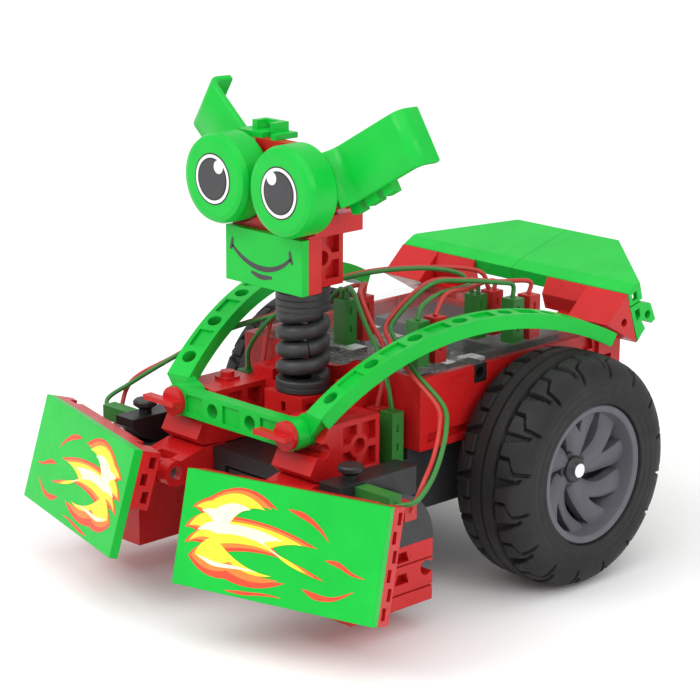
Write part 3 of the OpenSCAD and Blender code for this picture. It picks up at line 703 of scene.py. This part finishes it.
def on_mouth(u, v, up):
    """Point of the mouth plate's print, up millimetres proud of it."""
    return Vector((u * MM, mouth_front - up * MM, (MOUTH_Z + v) * MM))


def swelling(w):
    """Pen width that swells to w in the middle of the stroke."""
    return lambda t: w * (0.55 + 0.45 * math.sin(math.pi * clamp(t)))


print_layers("mouth_print", "head", [(INK_LINE, [
    stroke([(-12.4, 2.2), (-9.0, -0.2), (-5.0, -1.8), (-1.0, -2.4), (3.2, -2.0), (7.2, -0.5),
            (10.6, 1.9)], swelling(1.5)),
    stroke([(-13.2, 1.0), (-12.5, 2.4), (-12.2, 4.4)], swelling(1.2)),
    stroke([(11.3, 0.6), (10.7, 2.1), (10.2, 4.2)], swelling(1.2)),
    stroke([(-4.8, -3.9), (-0.9, -4.7), (3.4, -4.3)], swelling(1.4)),
])], on_mouth)

# ---------------------------------------------------------------- flames

FLAME = [  # tips and roots by turns, each with the bend of the edge to the next point
    (3.5, -8.9, -0.09), (-17.5, -4.9, -0.09), (14.5, -6.4, -0.07), (-2.0, -0.6, -0.06),
    (11.5, 1.2, 0.05), (-14.5, 5.0, -0.16), (-1.5, 8.8, 0.19), (-22.0, 8.8, 0.06),
    (-26.8, 5.6, -0.08), (-23.8, 4.2, 0.10), (-28.4, 0.0, -0.08), (-24.6, -0.4, 0.10),
    (-27.8, -4.0, -0.10), (-21.6, -3.6, 0.12), (-26.2, -7.0, 0.14), (-14.5, -11.0, 0.10),
]
HEART = [  # the palest part, in the same form
    (4.0, -3.4, -0.06), (-4.0, 0.7, -0.05), (3.0, 1.2, 0.05), (-15.0, 3.8, -0.14),
    (-8.0, 8.0, 0.15), (-19.5, 6.2, 0.05), (-24.6, 5.2, -0.08), (-20.5, 2.6, 0.08),
    (-25.4, -0.4, -0.08), (-18.5, -1.2, -0.09),
]
SPINE = [(-20.0, 6.4), (-18.0, 2.0), (-9.0, 0.4), (0.0, -2.6)]
SPARKS = [  # loose tongues: points and width
    ([(1.5, 9.6), (6.5, 8.6), (11.0, 6.4), (14.5, 3.4)], 2.0),
    ([(14.0, -1.2), (18.0, -1.6), (22.0, -3.2), (26.0, -3.8)], 1.7),
    ([(8.5, -9.4), (13.0, -10.6), (18.0, -10.2), (23.5, -7.4)], 2.1),
    ([(-14.0, -13.9), (-8.0, -13.6), (-2.0, -12.9), (3.0, -12.8)], 1.3),
]
PALE_TONGUE = [(-23.4, -6.4), (-18.0, -7.8), (-11.0, -7.6), (-5.0, -7.6)], 1.5


def near_spine(u, v):
    """The spine's nearest point."""
    best = None
    for (au, av), (bu, bv) in zip(SPINE, SPINE[1:]):
        t = ((u - au) * (bu - au) + (v - av) * (bv - av)) / ((bu - au) ** 2 + (bv - av) ** 2)
        t = clamp(t)
        spot = (au + t * (bu - au), av + t * (bv - av))
        gap = math.hypot(u - spot[0], v - spot[1])
        if best is None or gap < best[0]:
            best = (gap, spot)
    return best[1]


def flame(points, shrink=0.0, back=0.0):
    """A flame outline, its roots drawn towards the spine and its tips drawn back."""
    n = len(points)
    spots = [(u, v) for u, v, _ in points]
    for i in range(1, n, 2):
        u, v = spots[i]
        su, sv = near_spine(u, v)
        spots[i] = (u + (su - u) * shrink, v + (sv - v) * shrink)
    for i in range(0, n, 2):
        (au, av), (bu, bv) = spots[i - 1], spots[i + 1]
        mu, mv = (au + bu) / 2, (av + bv) / 2
        spots[i] = (mu + (spots[i][0] - mu) * (1 - back), mv + (spots[i][1] - mv) * (1 - back))
    outline = []
    for i in range(n):
        (au, av), (bu, bv) = spots[i], spots[(i + 1) % n]
        bend = points[i][2] * 2
        cu, cv = (au + bu) / 2 + (bv - av) * bend, (av + bv) / 2 - (bu - au) * bend
        for k in range(12):
            t = k / 12
            outline.append(((1 - t) ** 2 * au + 2 * t * (1 - t) * cu + t * t * bu,
                            (1 - t) ** 2 * av + 2 * t * (1 - t) * cv + t * t * bv))
    return outline


def tongue(points, width):
    """Tapered loose flame tongue."""
    def taper(t):
        return max(0.02, width * clamp((t / 0.3) ** 0.8) * (1 - t) ** 0.7)
    return stroke(points, taper, 12)


PLATE_AT = at(40.8, -20.4, 31.3)  # middle of the left bumper plate's front
PLATE_TURN = Matrix.Rotation(math.radians(15), 4, "Z") @ Matrix.Rotation(math.radians(-15.5), 4, "X")
for side, sgn in (("left", 1), ("right", -1)):
    def on_plate(u, v, up, sgn=sgn):
        """Point of the flame print, up millimetres proud of the plate; u runs outwards."""
        p = PLATE_TURN @ Vector((u * MM, -up * MM, v * MM)) + PLATE_AT
        return Vector((sgn * p.x, p.y, p.z))

    print_layers(side + "_flame_print", side + "_bumper", [
        (FLAME_RED, [flame(FLAME)] + [tongue(*spark) for spark in SPARKS]),
        (FLAME_ORANGE, [flame(FLAME, 0.18, 0.10)]),
        (FLAME_YELLOW, [flame(FLAME, 0.38, 0.22)]),
        (FLAME_PALE, [flame(HEART, 0.35, 0.14), tongue(*PALE_TONGUE)]),
    ], on_plate)

# ---------------------------------------------------------------- stage, light, camera

bpy.context.scene.view_settings.view_transform = "Standard"
world = bpy.data.worlds.new("studio")
bpy.context.scene.world = world
world.use_nodes = True
world.node_tree.nodes["Background"].inputs["Color"].default_value = (1.0, 1.0, 1.0, 1.0)
world.node_tree.nodes["Background"].inputs["Strength"].default_value = 0.74

floor_mat, floor_tree, floor_bsdf = shader("pale_floor")
floor_coords = floor_tree.nodes.new("ShaderNodeTexCoord").outputs["Object"]
floor_tree.links.new(ramp_of(floor_tree, noise_of(floor_tree, floor_coords, 3.0),
                             [(0.3, (0.975, 0.975, 0.975)), (0.7, (0.985, 0.985, 0.985))]),
                     floor_bsdf.inputs["Base Color"])
floor_bsdf.inputs["Roughness"].default_value = 0.9
FLOOR_REACH = 30  # metres
floor_mesh = mesh_of("floor", [(x * FLOOR_REACH, y * FLOOR_REACH, 0)
                               for x, y in ((-1, -1), (1, -1), (1, 1), (-1, 1))],
                     [(0, 1, 2, 3)], floor_mat)
floor = bpy.data.objects.new("floor", floor_mesh)
bpy.context.scene.collection.objects.link(floor)


def facing(place, aim):
    """Rotation of a light or camera at place that looks at aim."""
    return (Vector(aim) - Vector(place)).to_track_quat("-Z", "Y")


def softbox(name, place, aim, size, power):
    light = bpy.data.lights.new(name, "AREA")
    light.shape = "RECTANGLE"
    light.size, light.size_y = size
    light.energy = power
    obj = bpy.data.objects.new(name, light)
    obj.location = place
    obj.rotation_euler = facing(place, aim).to_euler()
    bpy.context.scene.collection.objects.link(obj)


softbox("key", (-0.25, -0.75, 0.75), (0, 0, 0.05), (0.5, 0.35), 2.6)
softbox("side", (0.85, -0.05, 0.55), (0, 0, 0.05), (0.4, 0.4), 1.6)

sun = bpy.data.lights.new("sun", "SUN")
sun.energy = 1.15
sun.angle = math.radians(70)
sun_holder = bpy.data.objects.new("sun", sun)
sun_holder.rotation_euler = facing((0.15, -0.45, 1.0), (0, 0, 0)).to_euler()
bpy.context.scene.collection.objects.link(sun_holder)

# The camera's place and aim, in millimetres, and its small roll match the picture's view.
camera = bpy.data.cameras.new("camera")
camera.lens = 125.7
camera.sensor_width = 36.0
camera.clip_start, camera.clip_end = 0.05, 20.0
cam = bpy.data.objects.new("camera", camera)
bpy.context.scene.collection.objects.link(cam)
cam.location = at(469.3, -413.6, 239.0)
look = facing(cam.location, at(-46.44, 89.63, 45.0))
cam.rotation_mode = "QUATERNION"
cam.rotation_quaternion = look @ Matrix.Rotation(math.radians(0.31), 4, "Z").to_quaternion()
bpy.context.scene.camera = cam
